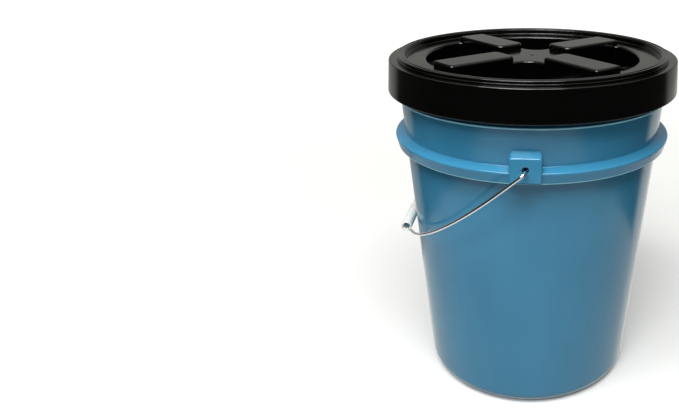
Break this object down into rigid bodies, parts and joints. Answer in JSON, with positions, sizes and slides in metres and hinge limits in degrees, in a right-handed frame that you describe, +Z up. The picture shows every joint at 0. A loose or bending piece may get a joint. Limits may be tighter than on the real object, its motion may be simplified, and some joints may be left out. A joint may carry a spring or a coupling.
{
  "type": "plastic bucket with screw lid",
  "caption": "Round tapered plastic bucket with a clip-on threaded ring, a screw lid with a recessed cross handle, and a wire bail with a loose grip.",
  "frame": {"origin": "centre of the bucket's base, on the surface it stands on", "axes": "+Z up along the bucket's axis; the two ears and the bail's pivot axis lie along Y, with one ear on -Y; the bail hangs towards -X"},
  "size_m": [0.324, 0.3404, 0.3961],
  "materials": {
    "pail": "satin moulded polyethylene",
    "ring": "satin moulded polypropylene",
    "ring_seal": "dull",
    "lid": "satin moulded polypropylene",
    "lid_seal": "dull",
    "label": "printed and coated",
    "wire": "bright zinc plate",
    "grip": "natural polyethylene"
  },
  "bodies": {
    "root": {"pail": "pail", "adapter_ring": "ring", "ring_gasket": "ring_seal"},
    "lid_seal": {"lid_gasket": "lid_seal"},
    "lid": {"screw_lid": "lid", "lid_label": "label"},
    "bail": {"bail_wire": "wire"},
    "grip": {"bail_grip": "grip"}
  },
  "joints": [
    {"name": "lid_rise", "type": "slide", "parent": "root", "child": "lid_seal", "axis": [0, 0, 1], "range_m": [0, 0.0421]},
    {"name": "lid_turn", "type": "hinge", "parent": "lid_seal", "child": "lid", "pos_m": [0, 0, 0.3915], "axis": [0, 0, 1], "range_deg": [0, 630]},
    {"name": "bail_swing", "type": "hinge", "parent": "root", "child": "bail", "pos_m": [0, 0, 0.312], "axis": [0, 1, 0], "range_deg": [0, 257.9]},
    {"name": "grip_spin", "type": "hinge", "parent": "bail", "child": "grip", "pos_m": [-0.14539, 0, 0.19438], "axis": [0, 1, 0], "continuous": true}
  ],
  "couplings": [
    {"joint": "lid_rise", "follows": "lid_turn", "m_per_rad": 0.0038197}
  ]
}
